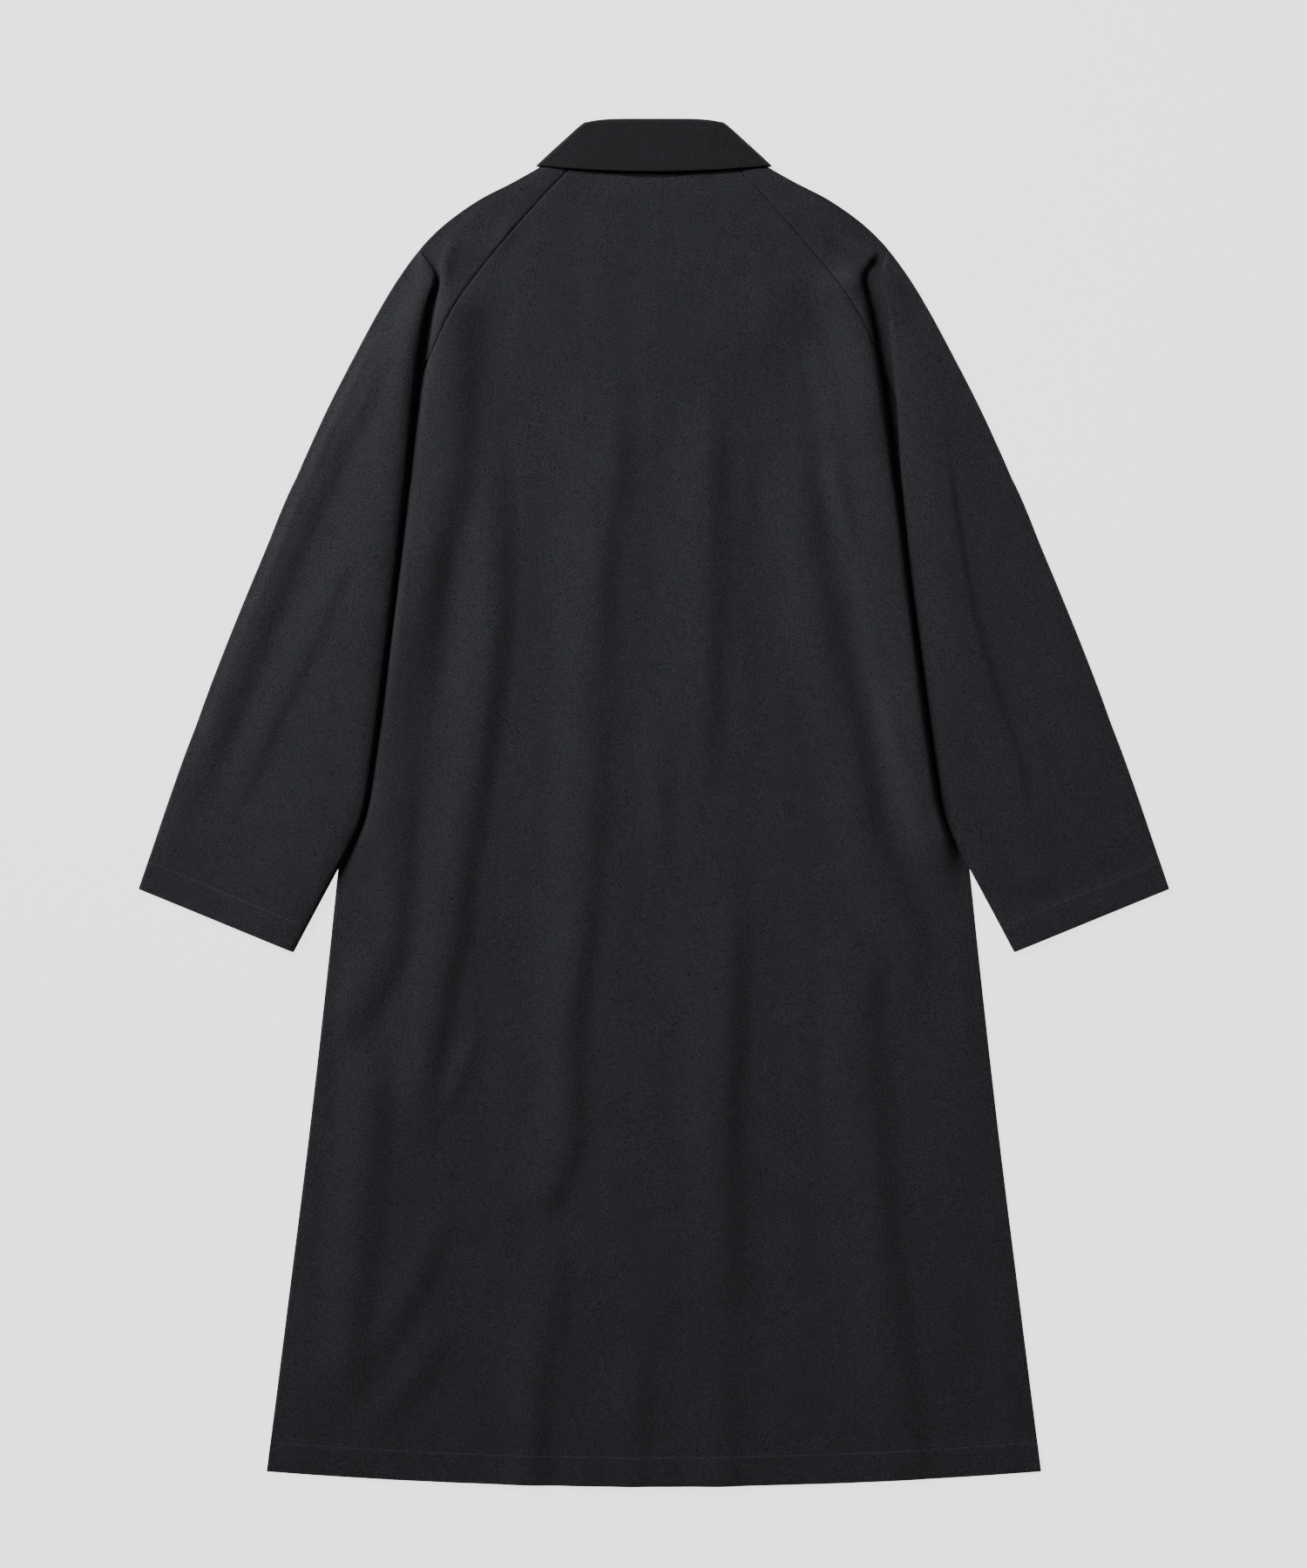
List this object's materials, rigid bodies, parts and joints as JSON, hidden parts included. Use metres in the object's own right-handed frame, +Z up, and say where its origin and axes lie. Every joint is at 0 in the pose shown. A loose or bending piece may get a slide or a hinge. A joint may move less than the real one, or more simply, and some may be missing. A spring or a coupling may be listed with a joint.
{
  "type": "mackintosh coat",
  "caption": "Long raglan-sleeved mackintosh coat with a turned-down collar, lying flat and face down with its back up.",
  "frame": {"origin": "on the surface that the coat lies on, under the middle of its box", "axes": "+Y from the hem to the collar, +X to the right seen from above with the collar up, +Z up off the surface"},
  "size_m": [0.946, 1.2558, 0.0126],
  "materials": {
    "cloth": "matt bonded cotton twill, charcoal black",
    "thread": "matt sewing thread, charcoal black"
  },
  "bodies": {
    "root": {"front_left": "cloth", "front_right": "cloth", "back": "cloth", "sleeve_left_front": "cloth", "sleeve_left_back": "cloth", "sleeve_right_front": "cloth", "sleeve_right_back": "cloth", "collar_fall": "cloth", "collar_stand": "cloth"}
  },
  "joints": []
}
